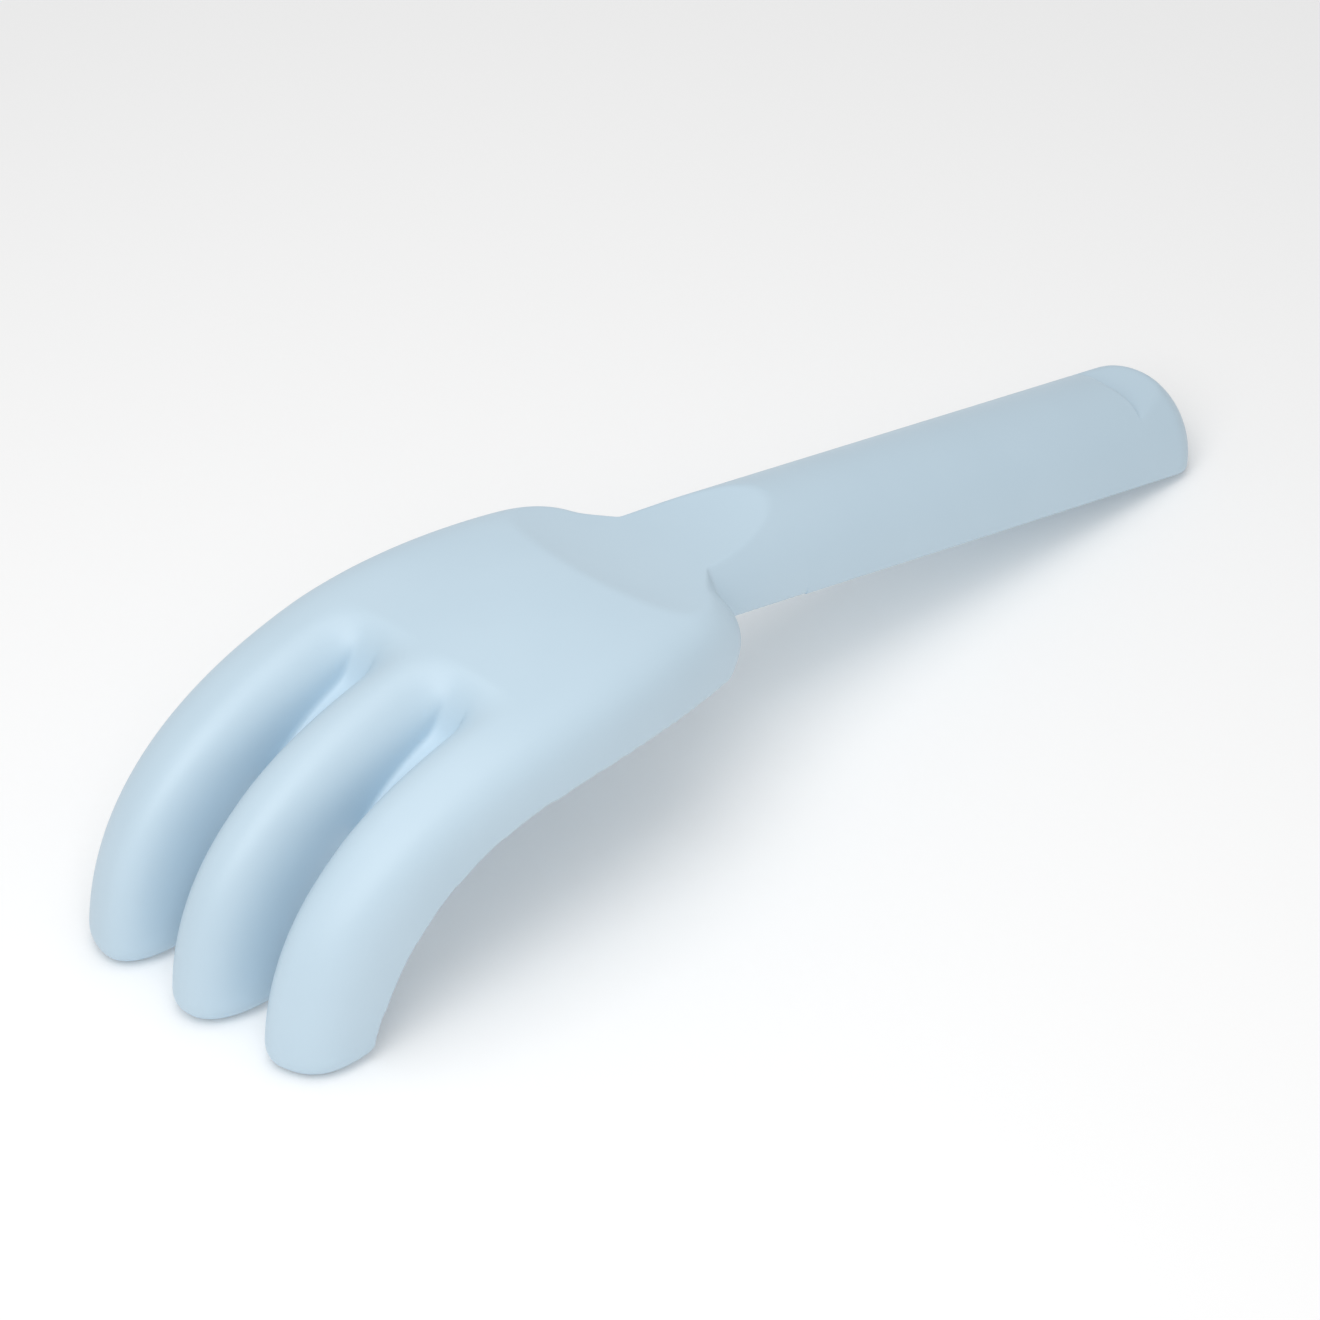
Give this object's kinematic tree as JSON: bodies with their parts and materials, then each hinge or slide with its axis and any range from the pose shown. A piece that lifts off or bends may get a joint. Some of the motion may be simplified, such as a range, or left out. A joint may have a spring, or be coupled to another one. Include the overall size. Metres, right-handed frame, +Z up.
{
  "type": "sand rake",
  "caption": "Hand-held sand rake for a child: curved hollow head with blunt tines, open slots between them and a sloping half-round handle.",
  "frame": {"origin": "middle of the rake's length and width, on the floor that the tine tips and the handle's end rest on", "axes": "+X along the rake from the tine fronts to the handle's end, +Y across the tines, +Z up"},
  "size_m": [0.2092, 0.0564, 0.0414],
  "materials": {
    "plastic": "satin"
  },
  "bodies": {
    "root": {"rake_head": "plastic", "handle_shell": "plastic", "handle_end_cap": "plastic"}
  },
  "joints": []
}
